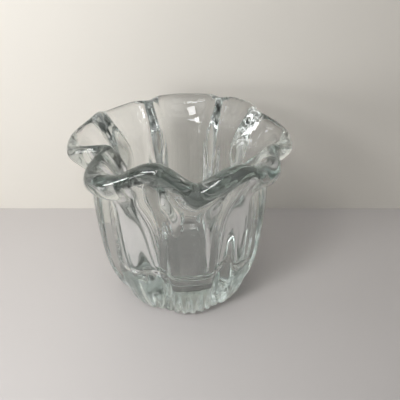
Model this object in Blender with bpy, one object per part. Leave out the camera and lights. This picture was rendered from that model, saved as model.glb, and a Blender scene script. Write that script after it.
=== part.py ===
"""Lobed crystal vase, modelled as one solid piece of thick clear glass.

The wall is one closed skin: flat underside, foot edge, fluted outer wall,
flared and rounded lip, fluted inner wall and dished cavity floor.  Eight broad
lobes alternate with eight narrower grooves, and each groove stands as a rib
inside.  The piece was worked hot by hand, so each lobe and each groove has its
own bearing, reach and droop.

Metres, +Z up.  The origin is on the vase axis at the underside.  A bearing is
an angle in degrees around +Z that starts at the front (-Y) and grows towards +X.
"""
import math

import bmesh
import bpy

# ---------------------------------------------------------------- dimensions
MM = 0.001

RIM_RADIUS = 85.0 * MM        # every other length below is a multiple of this
FLOOR_HEIGHT = 0.252          # solid glass under the cavity
LIP_RADIUS = 0.105            # half thickness of the rounded lip where it is full
LIP_LOBE = (0.975, 1.700)     # lip centre at an average lobe: reach, height
LIP_GROOVE = (0.830, 1.785)   # lip centre at an average groove
GROOVE_FLARE = 75.9           # how steeply the lip points up at a groove, degrees

AROUND = 120                  # facets around the vase
STEPS_PER_SPAN = 2            # rows of facets for each span of the wall curve

# Stations of the wall section, up the outside and down the inside:
# reach at a lobe, height at a lobe, reach at a groove, height at a groove,
# how narrow the groove is there (1 = an even wave, more = a narrow groove),
# and how much of each lobe's own lip reach and lip height the station takes.
OUTER_WALL = (
    (0.546, 0.000, 0.555, 0.000, 1.8, 0.00),     # edge of the flat underside
    (0.632, 0.000, 0.610, 0.000, 2.4, 0.00),
    (0.679, 0.050, 0.615, 0.050, 3.4, 0.00),     # rolled foot edge
    (0.711, 0.140, 0.603, 0.135, 4.2, 0.00),
    (0.761, 0.290, 0.608, 0.270, 5.0, 0.00),
    (0.796, 0.520, 0.623, 0.500, 5.5, 0.00),     # belly of the lobes
    (0.816, 0.800, 0.638, 0.800, 5.5, 0.00),
    (0.830, 1.100, 0.653, 1.120, 5.5, 0.05),
    (0.834, 1.340, 0.727, 1.380, 5.5, 0.25),     # waist under the flare
    (0.865, 1.510, 0.782, 1.580, 5.5, 0.65),
)
LIP_TURN = (-105.0, -50.0, 0.0, 50.0, 105.0)     # stations around the lip, degrees
INNER_WALL = (
    (0.754, 1.580, 0.580, 1.620, 3.0, 0.60),
    (0.684, 1.400, 0.510, 1.420, 3.0, 0.25),
    (0.644, 1.150, 0.565, 1.150, 3.0, 0.05),
    (0.619, 0.850, 0.545, 0.850, 3.0, 0.00),
    (0.579, 0.600, 0.525, 0.600, 3.0, 0.00),
    (0.531, 0.410, 0.523, 0.410, 2.5, 0.00),     # round corner of the cavity floor
    (0.438, 0.290, 0.408, 0.290, 1.4, 0.00),
    (0.180, FLOOR_HEIGHT, 0.170, FLOOR_HEIGHT, 1.0, 0.00),
    (0.000, FLOOR_HEIGHT, 0.000, FLOOR_HEIGHT, 1.0, 0.00),
)

# The lobes as they were pulled: bearing at the lip, bearing in the body, lip
# reach, lip height, extra reach of the belly, thickness of the lip as a share
# of the full one, and how steeply the lip points up, in degrees.
LOBES = (
    (9.0, 6.0, 0.896, 1.632, -0.012, 1.08, 73.1),
    (49.6, 49.5, 0.929, 1.670, -0.026, 1.00, 73.1),
    (84.7, 87.0, 0.922, 1.691, 0.002, 0.90, 73.1),
    (140.7, 140.6, 0.894, 1.740, 0.000, 0.80, 50.0),
    (181.1, 181.1, 0.948, 1.700, 0.000, 0.80, 50.0),
    (226.3, 226.8, 0.892, 1.701, 0.000, 0.80, 50.0),
    (280.1, 275.0, 0.978, 1.709, 0.085, 0.80, 45.0),
    (321.7, 315.7, 1.006, 1.691, 0.002, 1.00, 33.2),
)
# The grooves as they were pressed: bearing at the lip, bearing in the body, lip
# reach, lip height, how far the body groove is filled out, narrowness of the
# body groove against the table above, narrowness at the lip, and thickness of
# the lip as a share of the full one.
GROOVES = (
    (29.8, 29.8, 0.918, 1.793, 0.00, 1.00, 0.70, 0.74),
    (67.5, 66.8, 0.841, 1.705, 0.00, 1.00, 1.50, 0.74),
    (115.5, 115.7, 0.775, 1.756, 0.00, 1.00, 3.80, 0.89),
    (154.2, 154.0, 0.820, 1.729, 0.00, 1.00, 3.80, 0.89),
    (208.4, 208.1, 0.775, 1.718, 0.00, 1.00, 3.80, 0.89),
    (253.9, 253.3, 0.838, 1.776, 0.00, 1.00, 3.80, 0.89),
    (301.0, 300.0, 0.757, 1.756, 0.60, 1.00, 2.00, 0.74),
    (347.9, 342.0, 0.891, 1.851, 0.00, 0.80, 0.70, 0.74),
)

CLEAR_GLASS = (0.80, 0.85, 0.83, 1.0)


# ------------------------------------------------------------------ geometry
def closed_spline(xs, ys, period, rise):
    """Smooth curve through (xs, ys) that repeats every period and rises by rise."""
    n = len(xs)
    step = [(xs[(i + 1) % n] - xs[i]) % period for i in range(n)]
    slope = [((ys[(i + 1) % n] - ys[i]) + (rise if i == n - 1 else 0.0)) / step[i]
             for i in range(n)]
    tangent = list(slope)
    for _ in range(200):                       # settles the tangents evenly
        for i in range(n):
            before, after = step[i - 1], step[i]
            target = 3.0 * (after * slope[i - 1] + before * slope[i])
            target -= after * tangent[i - 1] + before * tangent[(i + 1) % n]
            tangent[i] = target / (2.0 * (before + after))

    def value(x):
        turns, along = divmod(x - xs[0], period)
        i = 0
        while i < n - 1 and along >= step[i]:
            along -= step[i]
            i += 1
        t = along / step[i]
        y0 = ys[i]
        y1 = ys[(i + 1) % n] + (rise if i == n - 1 else 0.0)
        m0, m1 = tangent[i] * step[i], tangent[(i + 1) % n] * step[i]
        return ((2 * t ** 3 - 3 * t ** 2 + 1) * y0 + (t ** 3 - 2 * t ** 2 + t) * m0
                + (3 * t ** 2 - 2 * t ** 3) * y1 + (t ** 3 - t ** 2) * m1
                + turns * rise)

    return value


def ease(rows, at, column, bearing):
    """Cosine blend of one column between the rows on either side of a bearing."""
    values = sorted((row[at], row[column]) for row in rows)
    n = len(values)
    for i in range(n):
        start, first = values[i]
        end, second = values[(i + 1) % n]
        width = (end - start) % 360.0
        along = (bearing - start) % 360.0
        if along < width:
            t = 0.5 - 0.5 * math.cos(math.pi * along / width)
            return first + (second - first) * t
    return values[0][1]


def wave_phase(at):
    """Bearing to phase of the wave: 0, 45, ... at the lobes, halfway at the grooves."""
    marks = sorted([(row[at], 0) for row in LOBES] + [(row[at], 1) for row in GROOVES])
    start = 22.5 if marks[0][1] else 0.0
    return closed_spline([m[0] for m in marks],
                         [start + 22.5 * i for i in range(len(marks))], 360.0, 360.0)


def wall_table():
    """Every station of the section in order; the lip ones carry their turn."""
    table = [(*row, None) for row in OUTER_WALL]
    table += [(*LIP_LOBE, *LIP_GROOVE, 1.0, 1.0, turn) for turn in LIP_TURN]
    return table + [(*row, None) for row in INNER_WALL]


def wall_stations(bearing, at_lip, in_body, table):
    """The stations of the section at one bearing, as (radius, height) pairs."""
    reach, height = ease(LOBES, 0, 2, bearing), ease(LOBES, 0, 3, bearing)
    thick_top, flare = ease(LOBES, 0, 5, bearing), ease(LOBES, 0, 6, bearing)
    swell = ease(LOBES, 1, 4, bearing)
    dip_reach, dip_height = ease(GROOVES, 0, 2, bearing), ease(GROOVES, 0, 3, bearing)
    lip_narrow, thick_dip = ease(GROOVES, 0, 6, bearing), ease(GROOVES, 0, 7, bearing)
    fill, body_narrow = ease(GROOVES, 1, 4, bearing), ease(GROOVES, 1, 5, bearing)
    # control radius that makes the smooth curve LIP_RADIUS thick at the tip
    control = LIP_RADIUS * 3.0 / (2.0 + math.cos(math.radians(LIP_TURN[3])))
    out = []
    for lobe_r, lobe_z, groove_r, groove_z, narrow, share, turn in table:
        phase = (1.0 - share) * in_body(bearing) + share * at_lip(bearing)
        crest = 0.5 + 0.5 * math.cos(math.radians(8.0 * phase))
        w = 1.0 - (1.0 - crest) ** ((1.0 - share) * narrow * body_narrow
                                    + share * lip_narrow)
        filled = (1.0 - share) * fill
        groove_r += filled * (lobe_r - groove_r)
        groove_z += filled * (lobe_z - groove_z)
        if lobe_r > 0.3:
            swell_here = (1.0 - share) * swell * min(1.0, lobe_r / 0.8)
        else:
            swell_here = 0.0
        lobe_r += share * (reach - LIP_LOBE[0]) + swell_here
        lobe_z += share * (height - LIP_LOBE[1])
        groove_r += share * (dip_reach - LIP_GROOVE[0])
        groove_z += share * (dip_height - LIP_GROOVE[1])
        r = groove_r + w * (lobe_r - groove_r)
        z = groove_z + w * (lobe_z - groove_z)
        if turn is not None:
            lean = math.radians(GROOVE_FLARE + w * (flare - GROOVE_FLARE) + turn)
            thick = thick_dip + w * (thick_top - thick_dip)
            r += control * thick * math.cos(lean)
            z += control * thick * math.sin(lean)
        out.append((r, z))
    return out


def section_point(stations, s):
    """Point of the smooth section curve (clamped cubic B-spline) at s from 0 to 1."""
    n, degree = len(stations), 3
    knots = ([0.0] * degree + [i / (n - degree) for i in range(n - degree + 1)]
             + [1.0] * degree)
    span = min(int(s * (n - degree)), n - degree - 1) + degree
    work = [list(stations[span - degree + j]) for j in range(degree + 1)]
    for level in range(1, degree + 1):
        for j in range(degree, level - 1, -1):
            low = knots[span - degree + j]
            high = knots[span + 1 + j - level]
            a = (s - low) / (high - low)
            for axis in (0, 1):
                work[j][axis] = (1.0 - a) * work[j - 1][axis] + a * work[j][axis]
    return work[degree]


def vase_mesh(name):
    at_lip, in_body, table = wave_phase(0), wave_phase(1), wall_table()
    rows = STEPS_PER_SPAN * (len(table) - 3)
    bm = bmesh.new()
    columns = []
    for k in range(AROUND):
        bearing = 360.0 * k / AROUND
        stations = wall_stations(bearing, at_lip, in_body, table)
        turn = math.radians(bearing)
        column = []
        for j in range(rows):                  # the last row is the floor centre
            r, z = section_point(stations, j / rows)
            r, z = r * RIM_RADIUS, z * RIM_RADIUS
            column.append(bm.verts.new((r * math.sin(turn), -r * math.cos(turn),
                                        0.0 if j == 0 else z)))
        columns.append(column)
    underside = bm.verts.new((0.0, 0.0, 0.0))
    floor = bm.verts.new((0.0, 0.0, FLOOR_HEIGHT * RIM_RADIUS))
    for k in range(AROUND):
        here, after = columns[k], columns[(k + 1) % AROUND]
        bm.faces.new((underside, after[0], here[0]))
        for j in range(rows - 1):
            bm.faces.new((here[j], after[j], after[j + 1], here[j + 1]))
        bm.faces.new((here[rows - 1], after[rows - 1], floor))
    bmesh.ops.triangulate(bm, faces=bm.faces[:])
    mesh = bpy.data.meshes.new(name)
    bm.to_mesh(mesh)
    bm.free()
    return mesh


def clear_glass(name):
    material = bpy.data.materials.new(name)
    material.use_nodes = True
    shader = material.node_tree.nodes["Principled BSDF"]
    shader.inputs["Base Color"].default_value = CLEAR_GLASS
    shader.inputs["Roughness"].default_value = 0.03
    shader.inputs["Metallic"].default_value = 0.0
    return material


# --------------------------------------------------------------------- build
for item in list(bpy.data.objects):
    bpy.data.objects.remove(item, do_unlink=True)

vase = bpy.data.objects.new("vase", vase_mesh("vase"))
bpy.context.scene.collection.objects.link(vase)
vase.data.materials.append(clear_glass("clear_glass"))
vase.data.shade_smooth()
vase.data.set_sharp_from_angle(angle=math.radians(40.0))
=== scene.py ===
"""Lobed crystal vase on a pale table in front of a pale wall."""
import math

import bpy
import numpy as np
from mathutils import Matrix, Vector


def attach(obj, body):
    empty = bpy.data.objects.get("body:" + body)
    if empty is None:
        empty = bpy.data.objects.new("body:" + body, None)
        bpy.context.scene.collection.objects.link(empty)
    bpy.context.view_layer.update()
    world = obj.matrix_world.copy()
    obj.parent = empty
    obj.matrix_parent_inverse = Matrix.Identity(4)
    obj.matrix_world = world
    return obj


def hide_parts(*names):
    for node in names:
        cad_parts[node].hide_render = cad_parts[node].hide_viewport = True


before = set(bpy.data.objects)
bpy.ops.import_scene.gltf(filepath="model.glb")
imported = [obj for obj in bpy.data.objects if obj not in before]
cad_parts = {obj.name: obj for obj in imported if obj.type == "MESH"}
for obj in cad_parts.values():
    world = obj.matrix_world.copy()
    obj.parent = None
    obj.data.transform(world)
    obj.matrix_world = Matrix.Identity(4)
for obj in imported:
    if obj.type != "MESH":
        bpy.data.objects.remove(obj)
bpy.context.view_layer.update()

# ------------------------------------------------------------ vase dimensions
RIM_RADIUS = 0.085            # metres; every other length is a multiple of this
FLOOR_HEIGHT = 0.252          # solid glass under the cavity
LIP_RADIUS = 0.105            # half thickness of the rounded lip where it is full
LIP_LOBE = (0.975, 1.700)     # lip centre at an average lobe: reach, height
LIP_GROOVE = (0.830, 1.785)   # lip centre at an average groove
GROOVE_FLARE = 75.9           # how steeply the lip points up at a groove, degrees
FOOT_RIPPLES = 45             # fine upright ripples, spaced as if all around the foot
RIPPLE_DEPTH = 0.058
RIPPLED = (0.0, 0.20, 1.0, 1.1, 0.2)     # their share at each station from the foot up
RIPPLE_BEARINGS = (8.0, 22.0, 42.0)      # middle of the rippled stretch, full and faded half width
RING_SPACING = 0.110          # faint rings left where the glass cooled on the plunger
RING_RELIEF = 0.0021          # metres
STREAKED = (0.056, 0.046, 0.120)         # middle of the streaked patch, metres

AROUND = 480                  # facets around the vase
STEPS_PER_SPAN = 8            # rows of facets for each span of the wall curve

# reach and height at a lobe, reach and height at a groove, narrowness of the
# groove, share of each lobe's own lip reach and height
OUTER_WALL = (
    (0.546, 0.000, 0.555, 0.000, 1.8, 0.00),
    (0.632, 0.000, 0.610, 0.000, 2.4, 0.00),
    (0.679, 0.050, 0.615, 0.050, 3.4, 0.00),
    (0.711, 0.140, 0.603, 0.135, 4.2, 0.00),
    (0.761, 0.290, 0.608, 0.270, 5.0, 0.00),
    (0.796, 0.520, 0.623, 0.500, 5.5, 0.00),
    (0.816, 0.800, 0.638, 0.800, 5.5, 0.00),
    (0.830, 1.100, 0.653, 1.120, 5.5, 0.05),
    (0.834, 1.340, 0.727, 1.380, 5.5, 0.25),
    (0.865, 1.510, 0.782, 1.580, 5.5, 0.65),
)
LIP_TURN = (-105.0, -50.0, 0.0, 50.0, 105.0)
INNER_WALL = (
    (0.754, 1.580, 0.580, 1.620, 3.0, 0.60),
    (0.684, 1.400, 0.510, 1.420, 3.0, 0.25),
    (0.644, 1.150, 0.565, 1.150, 3.0, 0.05),
    (0.619, 0.850, 0.545, 0.850, 3.0, 0.00),
    (0.579, 0.600, 0.525, 0.600, 3.0, 0.00),
    (0.531, 0.410, 0.523, 0.410, 2.5, 0.00),
    (0.438, 0.290, 0.408, 0.290, 1.4, 0.00),
    (0.180, FLOOR_HEIGHT, 0.170, FLOOR_HEIGHT, 1.0, 0.00),
    (0.000, FLOOR_HEIGHT, 0.000, FLOOR_HEIGHT, 1.0, 0.00),
)
# lip bearing, body bearing, lip reach, lip height, belly, lip thickness, flare
LOBES = (
    (9.0, 6.0, 0.896, 1.632, -0.012, 1.08, 73.1),
    (49.6, 49.5, 0.929, 1.670, -0.026, 1.00, 73.1),
    (84.7, 87.0, 0.922, 1.691, 0.002, 0.90, 73.1),
    (140.7, 140.6, 0.894, 1.740, 0.000, 0.80, 50.0),
    (181.1, 181.1, 0.948, 1.700, 0.000, 0.80, 50.0),
    (226.3, 226.8, 0.892, 1.701, 0.000, 0.80, 50.0),
    (280.1, 275.0, 0.978, 1.709, 0.085, 0.80, 45.0),
    (321.7, 315.7, 1.006, 1.691, 0.002, 1.00, 33.2),
)
# lip bearing, body bearing, lip reach, lip height, body fill, body narrowness,
# lip narrowness, lip thickness
GROOVES = (
    (29.8, 29.8, 0.918, 1.793, 0.00, 1.00, 0.70, 0.74),
    (67.5, 66.8, 0.841, 1.705, 0.00, 1.00, 1.50, 0.74),
    (115.5, 115.7, 0.775, 1.756, 0.00, 1.00, 3.80, 0.89),
    (154.2, 154.0, 0.820, 1.729, 0.00, 1.00, 3.80, 0.89),
    (208.4, 208.1, 0.775, 1.718, 0.00, 1.00, 3.80, 0.89),
    (253.9, 253.3, 0.838, 1.776, 0.00, 1.00, 3.80, 0.89),
    (301.0, 300.0, 0.757, 1.756, 0.60, 1.00, 2.00, 0.74),
    (347.9, 342.0, 0.891, 1.851, 0.00, 0.80, 0.70, 0.74),
)


# ------------------------------------------------------------------ the glass
def closed_spline(xs, ys, period, rise, at):
    n = len(xs)
    step = [(xs[(i + 1) % n] - xs[i]) % period for i in range(n)]
    slope = [((ys[(i + 1) % n] - ys[i]) + (rise if i == n - 1 else 0.0)) / step[i]
             for i in range(n)]
    tangent = list(slope)
    for _ in range(200):
        for i in range(n):
            before, after = step[i - 1], step[i]
            target = 3.0 * (after * slope[i - 1] + before * slope[i])
            target -= after * tangent[i - 1] + before * tangent[(i + 1) % n]
            tangent[i] = target / (2.0 * (before + after))
    out = []
    for x in at:
        turns, along = divmod(x - xs[0], period)
        i = 0
        while i < n - 1 and along >= step[i]:
            along -= step[i]
            i += 1
        t = along / step[i]
        y1 = ys[(i + 1) % n] + (rise if i == n - 1 else 0.0)
        m0, m1 = tangent[i] * step[i], tangent[(i + 1) % n] * step[i]
        out.append((2 * t ** 3 - 3 * t ** 2 + 1) * ys[i] + (t ** 3 - 2 * t ** 2 + t) * m0
                   + (3 * t ** 2 - 2 * t ** 3) * y1 + (t ** 3 - t ** 2) * m1
                   + turns * rise)
    return np.array(out)


def ease(rows, at, column, bearings):
    values = sorted((row[at], row[column]) for row in rows)
    n = len(values)
    out = np.zeros(len(bearings))
    for i in range(n):
        start, first = values[i]
        end, second = values[(i + 1) % n]
        width = (end - start) % 360.0
        along = (bearings - start) % 360.0
        t = 0.5 - 0.5 * np.cos(np.pi * along / width)
        out = np.where(along < width, first + (second - first) * t, out)
    return out


def wave_phase(at, bearings):
    marks = sorted([(row[at], 0) for row in LOBES] + [(row[at], 1) for row in GROOVES])
    start = 22.5 if marks[0][1] else 0.0
    return closed_spline([m[0] for m in marks],
                         [start + 22.5 * i for i in range(len(marks))],
                         360.0, 360.0, bearings)


def wall_stations(bearings):
    at_lip, in_body = wave_phase(0, bearings), wave_phase(1, bearings)
    reach, height = ease(LOBES, 0, 2, bearings), ease(LOBES, 0, 3, bearings)
    thick_top, flare = ease(LOBES, 0, 5, bearings), ease(LOBES, 0, 6, bearings)
    swell = ease(LOBES, 1, 4, bearings)
    dip_reach, dip_height = ease(GROOVES, 0, 2, bearings), ease(GROOVES, 0, 3, bearings)
    lip_narrow, thick_dip = ease(GROOVES, 0, 6, bearings), ease(GROOVES, 0, 7, bearings)
    fill, body_narrow = ease(GROOVES, 1, 4, bearings), ease(GROOVES, 1, 5, bearings)
    control = LIP_RADIUS * 3.0 / (2.0 + math.cos(math.radians(LIP_TURN[3])))
    table = [(*row, None) for row in OUTER_WALL]
    table += [(*LIP_LOBE, *LIP_GROOVE, 1.0, 1.0, turn) for turn in LIP_TURN]
    table += [(*row, None) for row in INNER_WALL]
    out = np.zeros((len(table), len(bearings), 2))
    for i, (lobe_r, lobe_z, groove_r, groove_z, narrow, share, turn) in enumerate(table):
        crest = 0.5 + 0.5 * np.cos(np.radians(8.0 * ((1.0 - share) * in_body
                                                     + share * at_lip)))
        w = 1.0 - (1.0 - crest) ** ((1.0 - share) * narrow * body_narrow
                                    + share * lip_narrow)
        filled = (1.0 - share) * fill
        r_low = groove_r + filled * (lobe_r - groove_r) + share * (dip_reach - LIP_GROOVE[0])
        z_low = groove_z + filled * (lobe_z - groove_z) + share * (dip_height - LIP_GROOVE[1])
        r_top = lobe_r + share * (reach - LIP_LOBE[0])
        if lobe_r > 0.3:
            r_top = r_top + (1.0 - share) * swell * min(1.0, lobe_r / 0.8)
        z_top = lobe_z + share * (height - LIP_LOBE[1])
        r, z = r_low + w * (r_top - r_low), z_low + w * (z_top - z_low)
        if turn is not None:
            lean = np.radians(GROOVE_FLARE + w * (flare - GROOVE_FLARE) + turn)
            thick = thick_dip + w * (thick_top - thick_dip)
            r, z = r + control * thick * np.cos(lean), z + control * thick * np.sin(lean)
        if i < len(RIPPLED):
            dip = (0.5 - 0.5 * np.cos(np.radians(FOOT_RIPPLES * bearings))) ** 2
            dip = dip * (0.8 + 0.2 * np.cos(np.radians(17.0 * bearings + 50.0)))
            middle, full, faded = RIPPLE_BEARINGS
            off = np.abs((bearings - middle + 180.0) % 360.0 - 180.0)
            here = np.clip((faded - off) / (faded - full), 0.12, 1.0)
            r = r - RIPPLE_DEPTH * RIPPLED[i] * here * dip
        out[i, :, 0], out[i, :, 1] = r, z
    return out


def spline_weights(n, s):
    """The four stations and weights of a clamped cubic B-spline at s."""
    degree = 3
    knots = ([0.0] * degree + [i / (n - degree) for i in range(n - degree + 1)]
             + [1.0] * degree)
    span = min(int(s * (n - degree)), n - degree - 1) + degree
    weights = [1.0]
    for level in range(1, degree + 1):
        nxt = [0.0] * (level + 1)
        for j in range(level):
            low = knots[span - level + 1 + j]
            high = knots[span + 1 + j]
            a = (s - low) / (high - low)
            nxt[j] += (1.0 - a) * weights[j]
            nxt[j + 1] += a * weights[j]
        weights = nxt
    return span - degree, weights


def vase_piece():
    bearings = np.arange(AROUND) * 360.0 / AROUND
    stations = wall_stations(bearings)
    count = len(stations)
    rows = STEPS_PER_SPAN * (count - 3)
    skin = np.zeros((rows, AROUND, 2))
    for j in range(rows):
        first, weights = spline_weights(count, j / rows)
        for i, weight in enumerate(weights):
            skin[j] += weight * stations[first + i]
    skin *= RIM_RADIUS
    skin[0, :, 1] = 0.0
    turn = np.radians(bearings)
    points = np.stack([skin[..., 0] * np.sin(turn), -skin[..., 0] * np.cos(turn),
                       skin[..., 1]], -1).transpose(1, 0, 2).reshape(-1, 3)
    verts = [tuple(float(c) for c in p) for p in points]
    under, floor = len(verts), len(verts) + 1
    verts += [(0.0, 0.0, 0.0), (0.0, 0.0, FLOOR_HEIGHT * RIM_RADIUS)]
    faces = []
    for k in range(AROUND):
        a, b = k * rows, ((k + 1) % AROUND) * rows
        faces.append((under, b, a))
        faces += [(a + j, b + j, b + j + 1, a + j + 1) for j in range(rows - 1)]
        faces.append((a + rows - 1, b + rows - 1, floor))
    mesh = bpy.data.meshes.new("vase_glass")
    mesh.from_pydata(verts, [], faces)
    mesh.validate()
    mesh.shade_smooth()
    piece = bpy.data.objects.new("vase_glass", mesh)
    bpy.context.scene.collection.objects.link(piece)
    return piece


def glass_material():
    m = bpy.data.materials.new("crystal_glass")
    m.use_nodes = True
    nt = m.node_tree
    n, l = nt.nodes, nt.links
    p = n["Principled BSDF"]
    out = n["Material Output"]
    p.inputs["Base Color"].default_value = (1.0, 1.0, 1.0, 1.0)
    p.inputs["Roughness"].default_value = 0.0
    p.inputs["IOR"].default_value = 1.53
    p.inputs["Transmission Weight"].default_value = 1.0
    coords = n.new("ShaderNodeTexCoord")

    def noise(scale, detail, stretch):
        """Noise over the object; a stretch above 1 draws it out up the vase."""
        size = n.new("ShaderNodeMapping")
        size.inputs["Scale"].default_value = (1.0, 1.0, 1.0 / stretch)
        l.new(coords.outputs["Object"], size.inputs["Vector"])
        tex = n.new("ShaderNodeTexNoise")
        tex.inputs["Scale"].default_value = scale
        tex.inputs["Detail"].default_value = detail
        tex.inputs["Roughness"].default_value = 0.45
        l.new(size.outputs["Vector"], tex.inputs["Vector"])
        return tex.outputs["Fac"]

    def relief(height, strength, distance, before=None):
        bump = n.new("ShaderNodeBump")
        bump.inputs["Distance"].default_value = distance
        if isinstance(strength, float):
            bump.inputs["Strength"].default_value = strength
        else:
            l.new(strength, bump.inputs["Strength"])
        l.new(height, bump.inputs["Height"])
        if before is not None:
            l.new(before, bump.inputs["Normal"])
        return bump.outputs["Normal"]

    def patch(value, low, high, most):
        """Strength that rises from 0 at low to most at high."""
        span = n.new("ShaderNodeMapRange")
        span.inputs["From Min"].default_value = low
        span.inputs["From Max"].default_value = high
        span.inputs["To Max"].default_value = most
        l.new(value, span.inputs["Value"])
        return span.outputs["Result"]

    # slow unevenness left by working the glass hot
    waves = relief(noise(22.0, 2.0, 1.0), 0.35, 0.002)
    # cords drawn up the wall, in some places only
    cords = relief(noise(150.0, 1.0, 14.0), patch(noise(16.0, 0.0, 1.5), 0.46, 0.64, 0.60),
                   0.0013, waves)
    # coarser streaks where the lobe at the back right was drawn out
    away = n.new("ShaderNodeVectorMath")
    away.operation = "DISTANCE"
    away.inputs[1].default_value = STREAKED
    l.new(coords.outputs["Object"], away.inputs[0])
    streaks = relief(noise(115.0, 1.0, 12.0), patch(away.outputs["Value"], 0.044, 0.022, 0.9),
                     0.0017, cords)

    def times(first, second):
        node = n.new("ShaderNodeMath")
        node.operation = "MULTIPLY"
        l.new(first, node.inputs[0])
        l.new(second, node.inputs[1])
        return node.outputs[0]

    # rings low in the cavity, around the edge of its floor
    parts = n.new("ShaderNodeSeparateXYZ")
    l.new(coords.outputs["Object"], parts.inputs[0])
    flat = n.new("ShaderNodeCombineXYZ")
    l.new(parts.outputs[0], flat.inputs[0])
    l.new(parts.outputs[1], flat.inputs[1])
    radius = n.new("ShaderNodeVectorMath")
    radius.operation = "LENGTH"
    l.new(flat.outputs[0], radius.inputs[0])
    inside = patch(radius.outputs["Value"], 0.585 * RIM_RADIUS, 0.555 * RIM_RADIUS, 1.0)
    low = patch(parts.outputs[2], 0.62 * RIM_RADIUS, 0.45 * RIM_RADIUS, 1.0)
    above = patch(parts.outputs[2], 0.10 * RIM_RADIUS, 0.20 * RIM_RADIUS, 1.0)
    edge = patch(radius.outputs["Value"], 0.16 * RIM_RADIUS, 0.40 * RIM_RADIUS, 1.0)
    where = times(times(inside, low), times(above, edge))
    path = n.new("ShaderNodeMath")
    path.operation = "SUBTRACT"
    l.new(parts.outputs[2], path.inputs[0])
    l.new(radius.outputs["Value"], path.inputs[1])
    turns = n.new("ShaderNodeMath")
    turns.operation = "MULTIPLY"
    turns.inputs[1].default_value = 2.0 * math.pi / (RING_SPACING * RIM_RADIUS)
    l.new(path.outputs[0], turns.inputs[0])
    rings = n.new("ShaderNodeMath")
    rings.operation = "SINE"
    l.new(turns.outputs[0], rings.inputs[0])
    l.new(relief(rings.outputs[0], where, RING_RELIEF, streaks), p.inputs["Normal"])
    absorb = n.new("ShaderNodeVolumeAbsorption")
    absorb.inputs["Color"].default_value = (0.655, 0.735, 0.705, 1.0)
    absorb.inputs["Density"].default_value = 8.0
    l.new(absorb.outputs["Volume"], out.inputs["Volume"])
    return m


vase = vase_piece()
vase.data.materials.append(glass_material())
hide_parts("vase")
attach(vase, "root")


# ------------------------------------------------------------------ the stage
def plain(name, colour, rough, fade, one_sided=False):
    """Pale matt paint with a faint, even mottle."""
    m = bpy.data.materials.new(name)
    m.use_nodes = True
    n, l = m.node_tree.nodes, m.node_tree.links
    p = n["Principled BSDF"]
    p.inputs["Roughness"].default_value = rough
    tex = n.new("ShaderNodeTexNoise")
    tex.inputs["Scale"].default_value = 6.0
    ramp = n.new("ShaderNodeMix")
    ramp.data_type = "RGBA"
    ramp.inputs[6].default_value = (*[c * (1.0 - fade) for c in colour], 1.0)
    ramp.inputs[7].default_value = (*colour, 1.0)
    c = n.new("ShaderNodeTexCoord")
    l.new(c.outputs["Object"], tex.inputs["Vector"])
    l.new(tex.outputs["Fac"], ramp.inputs[0])
    l.new(ramp.outputs[2], p.inputs["Base Color"])
    if one_sided:                      # clear from behind, for the other views
        side = n.new("ShaderNodeNewGeometry")
        through = n.new("ShaderNodeBsdfTransparent")
        pick = n.new("ShaderNodeMixShader")
        l.new(side.outputs["Backfacing"], pick.inputs[0])
        l.new(p.outputs[0], pick.inputs[1])
        l.new(through.outputs[0], pick.inputs[2])
        l.new(pick.outputs[0], n["Material Output"].inputs["Surface"])
    return m


def slab(name, corners, material):
    mesh = bpy.data.meshes.new(name)
    mesh.from_pydata(corners, [], [tuple(range(len(corners)))])
    o = bpy.data.objects.new(name, mesh)
    bpy.context.scene.collection.objects.link(o)
    mesh.materials.append(material)
    return o


WALL_Y = 1.29 * RIM_RADIUS
TABLE_Z = -0.0003
slab("table", [(-1.5, -1.2, TABLE_Z), (1.5, -1.2, TABLE_Z), (1.5, 1.2, TABLE_Z),
               (-1.5, 1.2, TABLE_Z)],
     plain("table_top", (0.606, 0.580, 0.568), 0.45, 0.03))
slab("backdrop", [(-1.5, WALL_Y, TABLE_Z), (1.5, WALL_Y, TABLE_Z), (1.5, WALL_Y, 1.6),
                  (-1.5, WALL_Y, 1.6)],
     plain("wall_paint", (0.820, 0.786, 0.720), 0.6, 0.02, one_sided=True))


# -------------------------------------------------------------- light and lens
def area(name, place, aim, size, power, colour):
    light = bpy.data.lights.new(name, "AREA")
    light.shape = "RECTANGLE"
    light.size, light.size_y = size
    light.energy = power
    light.color = colour
    o = bpy.data.objects.new(name, light)
    bpy.context.scene.collection.objects.link(o)
    o.location = place
    o.rotation_euler = (Vector(aim) - Vector(place)).to_track_quat("-Z", "Y").to_euler()
    return o


WHITE = (1.0, 1.0, 1.0)
MIDDLE = (0.0, 0.0, 0.06)
area("lamp_near_left", (-0.25, -0.30, 0.35), MIDDLE, (0.10, 0.10), 0.62, WHITE)
area("lamp_near", (-0.15, -0.30, 0.55), MIDDLE, (0.15, 0.15), 0.80, WHITE)
area("lamp_above_left", (-0.35, -0.15, 0.60), MIDDLE, (0.30, 0.30), 0.34, WHITE)
area("lamp_above", (0.0, -0.25, 1.20), MIDDLE, (0.50, 0.40), 0.72, WHITE)
area("window_low", (-0.50, -0.50, 0.20), MIDDLE, (0.30, 0.20), 1.42, WHITE)
area("window_left", (-0.60, -0.10, 0.30), MIDDLE, (0.30, 0.30), 0.27, WHITE)


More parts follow.
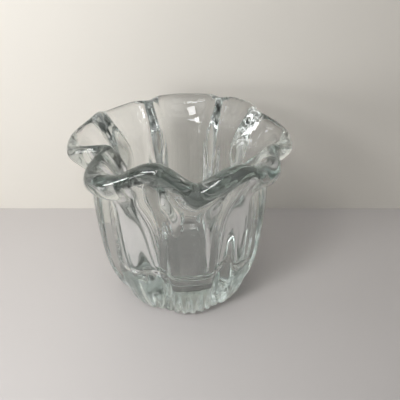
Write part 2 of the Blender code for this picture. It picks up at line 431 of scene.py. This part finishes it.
def room_light():
    """A dim room with one soft glow in front on the right, paler behind the wall."""
    world = bpy.data.worlds.new("room")
    bpy.context.scene.world = world
    world.use_nodes = True
    n, l = world.node_tree.nodes, world.node_tree.links
    coords = n.new("ShaderNodeTexCoord")

    def maths(operation, first, *rest):
        node = n.new("ShaderNodeMath")
        node.operation = operation
        l.new(first, node.inputs[0])
        for slot, value in enumerate(rest, 1):
            if isinstance(value, float):
                node.inputs[slot].default_value = value
            else:
                l.new(value, node.inputs[slot])
        return node.outputs[0]

    turn, rise = math.radians(35.0), math.radians(45.0)
    towards = n.new("ShaderNodeVectorMath")
    towards.operation = "DOT_PRODUCT"
    towards.inputs[1].default_value = (math.sin(turn) * math.cos(rise),
                                       -math.cos(turn) * math.cos(rise), math.sin(rise))
    l.new(coords.outputs["Generated"], towards.inputs[0])
    glow = maths("EXPONENT", maths("MULTIPLY_ADD", towards.outputs["Value"], 8.0, -8.0))
    parts = n.new("ShaderNodeSeparateXYZ")
    l.new(coords.outputs["Generated"], parts.inputs[0])
    behind = n.new("ShaderNodeMapRange")
    behind.inputs["From Min"].default_value = 0.05
    behind.inputs["From Max"].default_value = 0.60
    behind.inputs["To Max"].default_value = 0.55
    l.new(parts.outputs[1], behind.inputs["Value"])
    level = maths("ADD", maths("MULTIPLY_ADD", glow, 0.70, 0.02), behind.outputs[0])
    l.new(level, n["Background"].inputs["Color"])


room_light()

cam = bpy.data.cameras.new("camera")
cam.sensor_width = 36.0
cam.lens = 450.0 / 400.0 * 36.0
cam.clip_start, cam.clip_end = 0.01, 20.0
camera = bpy.data.objects.new("camera", cam)
bpy.context.scene.collection.objects.link(camera)
camera.location = (0.1585 * RIM_RADIUS, -3.8292 * RIM_RADIUS, 3.6048 * RIM_RADIUS)
camera.rotation_euler = (math.pi / 2 - 0.5956, 0.0, 0.0)
bpy.context.scene.camera = camera

scene = bpy.context.scene
scene.view_settings.view_transform = "Standard"
scene.cycles.max_bounces = 24
scene.cycles.transmission_bounces = 24
scene.cycles.glossy_bounces = 8
scene.cycles.transparent_max_bounces = 16
scene.cycles.caustics_reflective = True
scene.cycles.caustics_refractive = True
